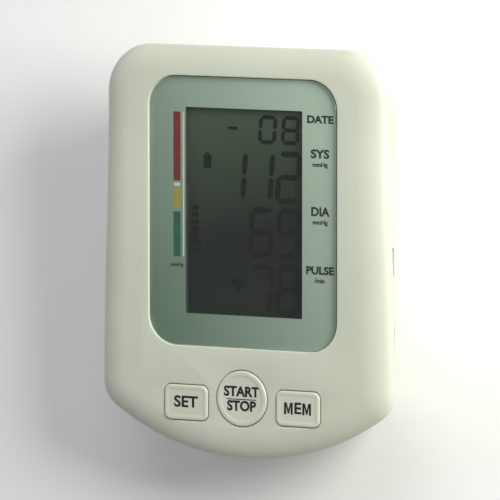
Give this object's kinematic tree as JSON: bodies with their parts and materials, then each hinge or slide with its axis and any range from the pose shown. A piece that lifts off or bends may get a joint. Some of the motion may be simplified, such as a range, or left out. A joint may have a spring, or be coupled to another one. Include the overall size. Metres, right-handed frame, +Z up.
{
  "type": "upper arm blood pressure monitor",
  "caption": "Wedge-shaped desktop blood pressure monitor with a large windowed display, push keys below it, an air inlet and sockets in its sides and a battery door underneath.",
  "frame": {"origin": "centre of the footprint on the table under the rubber feet", "axes": "+Z up out of the face, +Y towards the top of the display, +X to the display's right"},
  "size_m": [0.11, 0.1392, 0.0489],
  "materials": {
    "shell": "fine satin moulding, pale cream green",
    "window": "clear polished",
    "mask_print": "grey-green print behind the clear window",
    "lcd_glass": "dark polarised display",
    "white_plastic": "natural",
    "dark_plastic": "moulded",
    "circuit_board": "green solder mask",
    "rubber": "matte",
    "hose": "translucent silicone",
    "foam": "open-cell foam",
    "steel": "nickel plated",
    "cell_jacket": "printed jacket"
  },
  "bodies": {
    "root": {"front_cover": "shell", "rear_cover": "shell", "display_window": "window", "window_mask": "mask_print", "lcd_glass": "lcd_glass", "lcd_backlight": "white_plastic", "pump_head": "white_plastic", "pressure_sensor": "white_plastic", "air_cross": "white_plastic", "lcd_holder": "dark_plastic", "main_chip": "dark_plastic", "set_switch": "dark_plastic", "start_stop_switch": "dark_plastic", "mem_switch": "dark_plastic", "dc_socket": "dark_plastic", "speaker": "dark_plastic", "air_inlet": "dark_plastic", "main_board": "circuit_board", "zebra_strip": "rubber", "inlet_seal": "rubber", "foot_1": "rubber", "foot_2": "rubber", "foot_3": "rubber", "foot_4": "rubber", "inlet_hose": "hose", "pump_hose": "hose", "valve_hose": "hose", "sensor_hose": "hose", "pump_sleeve": "foam", "pump_motor": "steel", "release_valve": "steel", "usb_socket": "steel", "capacitor_1": "steel", "capacitor_2": "steel", "case_screw_1": "steel", "case_screw_2": "steel", "case_screw_3": "steel", "case_screw_4": "steel", "board_screw_1": "steel", "board_screw_2": "steel", "board_screw_3": "steel", "board_screw_4": "steel", "contact_bridge_left": "steel", "contact_bridge_right_1": "steel", "contact_bridge_right_2": "steel", "contact_negative": "steel", "contact_positive": "steel", "cell_spring_1": "steel", "cell_spring_2": "steel", "cell_spring_3": "steel", "cell_spring_4": "steel", "cell_1": "cell_jacket", "cell_2": "cell_jacket", "cell_3": "cell_jacket", "cell_4": "cell_jacket"},
    "start_stop_key": {"start_stop_key": "shell"},
    "set_key": {"set_key": "shell"},
    "mem_key": {"mem_key": "shell"},
    "battery_door": {"battery_door": "shell"}
  },
  "joints": [
    {"name": "start_stop_key_press", "type": "slide", "parent": "root", "child": "start_stop_key", "axis": [0, 0.1132, -0.9936], "range_m": [0, 0.0005], "stiffness_N_per_m": 1200, "springref_m": -0.0003},
    {"name": "set_key_press", "type": "slide", "parent": "root", "child": "set_key", "axis": [0, 0.1132, -0.9936], "range_m": [0, 0.0005], "stiffness_N_per_m": 1200, "springref_m": -0.0003},
    {"name": "mem_key_press", "type": "slide", "parent": "root", "child": "mem_key", "axis": [0, 0.1132, -0.9936], "range_m": [0, 0.0005], "stiffness_N_per_m": 1200, "springref_m": -0.0003},
    {"name": "battery_door_hinge", "type": "hinge", "parent": "root", "child": "battery_door", "pos_m": [0, 0.01936, 0.0027], "axis": [1, 0, 0], "range_deg": [0, 90]}
  ]
}
